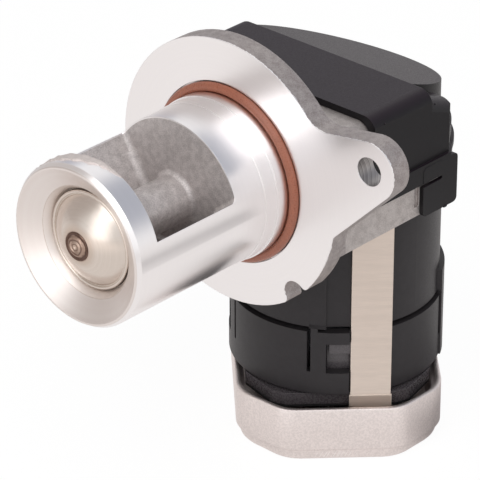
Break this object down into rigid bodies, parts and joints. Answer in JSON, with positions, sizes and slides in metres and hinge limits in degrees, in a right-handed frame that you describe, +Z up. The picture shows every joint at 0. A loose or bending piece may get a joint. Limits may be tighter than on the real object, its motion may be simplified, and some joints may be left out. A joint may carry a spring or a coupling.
{
  "type": "exhaust gas recirculation valve",
  "caption": "Motor-driven exhaust gas recirculation valve with a side-ported snout, round mounting flange with two ears, and a clamped motor housing.",
  "frame": {"origin": "the snout's axis where it meets the front face of the mounting flange", "axes": "-Y out of the snout's mouth, +Z up along the motor's axis, +X towards the upper mounting ear"},
  "size_m": [0.1162, 0.1476, 0.1359],
  "materials": {
    "cast_aluminium": "cast and machined, satin",
    "seat_steel": "machined",
    "sintered_bronze": "sintered",
    "seal_polymer": "matte",
    "ring_rubber": "matte",
    "valve_steel": "turned, satin",
    "stem_steel": "ground",
    "drive_steel": "sintered",
    "spring_steel": "drawn wire",
    "gear_plastic": "moulded, natural",
    "magnet_ferrite": "sintered",
    "pinion_brass": "machined",
    "motor_steel": "stamped",
    "copper_wire": "enamelled",
    "black_plastic": "moulded, fine grain",
    "carbon": "matte",
    "contact_metal": "plated",
    "gasket_rubber": "matte",
    "blasted_aluminium": "blasted",
    "strap_steel": "brushed",
    "board": "solder mask"
  },
  "bodies": {
    "housing": {"valve_housing": "cast_aluminium", "seat_ring": "seat_steel", "stem_guide": "sintered_bronze", "stem_seal": "seal_polymer", "snout_o_ring": "ring_rubber", "return_spring": "spring_steel", "output_shaft": "stem_steel", "intermediate_shaft": "stem_steel", "motor_magnets": "magnet_ferrite", "motor_can": "motor_steel", "upper_bearing": "sintered_bronze", "lower_bearing": "sintered_bronze", "brush_holder": "black_plastic", "carbon_brushes": "carbon", "motor_leads": "contact_metal", "connector_pins": "contact_metal", "motor_sleeve": "black_plastic", "motor_base": "black_plastic", "top_cover": "black_plastic", "wave_washer": "spring_steel", "pan_gasket": "gasket_rubber", "cover_gasket": "gasket_rubber", "bottom_pan": "blasted_aluminium", "front_strap": "strap_steel", "rear_strap": "strap_steel", "circuit_board": "board"},
    "valve": {"valve_head": "valve_steel", "valve_stem": "stem_steel", "spring_plate": "stem_steel", "drive_yoke": "drive_steel"},
    "output": {"output_gear": "gear_plastic", "crank_pin": "stem_steel", "crank_bush": "sintered_bronze", "sensor_magnet": "magnet_ferrite"},
    "intermediate": {"intermediate_gear": "gear_plastic"},
    "rotor": {"motor_shaft": "stem_steel", "rotor_core": "motor_steel", "rotor_windings": "copper_wire", "commutator": "copper_wire", "motor_pinion": "pinion_brass"}
  },
  "joints": [
    {"name": "motor_spin", "type": "hinge", "parent": "housing", "child": "rotor", "pos_m": [0, 0.0475, 0], "axis": [0, 0, 1], "range_deg": [-655.6, 0]},
    {"name": "intermediate_spin", "type": "hinge", "parent": "housing", "child": "intermediate", "pos_m": [0.01523, 0.03718, 0], "axis": [0, 0, 1], "range_deg": [0, 182.21]},
    {"name": "crank_swing", "type": "hinge", "parent": "housing", "child": "output", "pos_m": [-0.00872, 0.032, 0], "axis": [0, 0, 1], "range_deg": [-41.02, 0]},
    {"name": "valve_slide", "type": "slide", "parent": "housing", "child": "valve", "axis": [0, -1, 0], "range_m": [0, 0.00632], "deforming": ["return_spring"]}
  ],
  "couplings": [
    {"joint": "intermediate_spin", "follows": "motor_spin", "ratio": -0.27778},
    {"joint": "crank_swing", "follows": "motor_spin", "ratio": 0.0625},
    {"joint": "valve_slide", "follows": "motor_spin", "m_per_rad": -0.00055059}
  ]
}
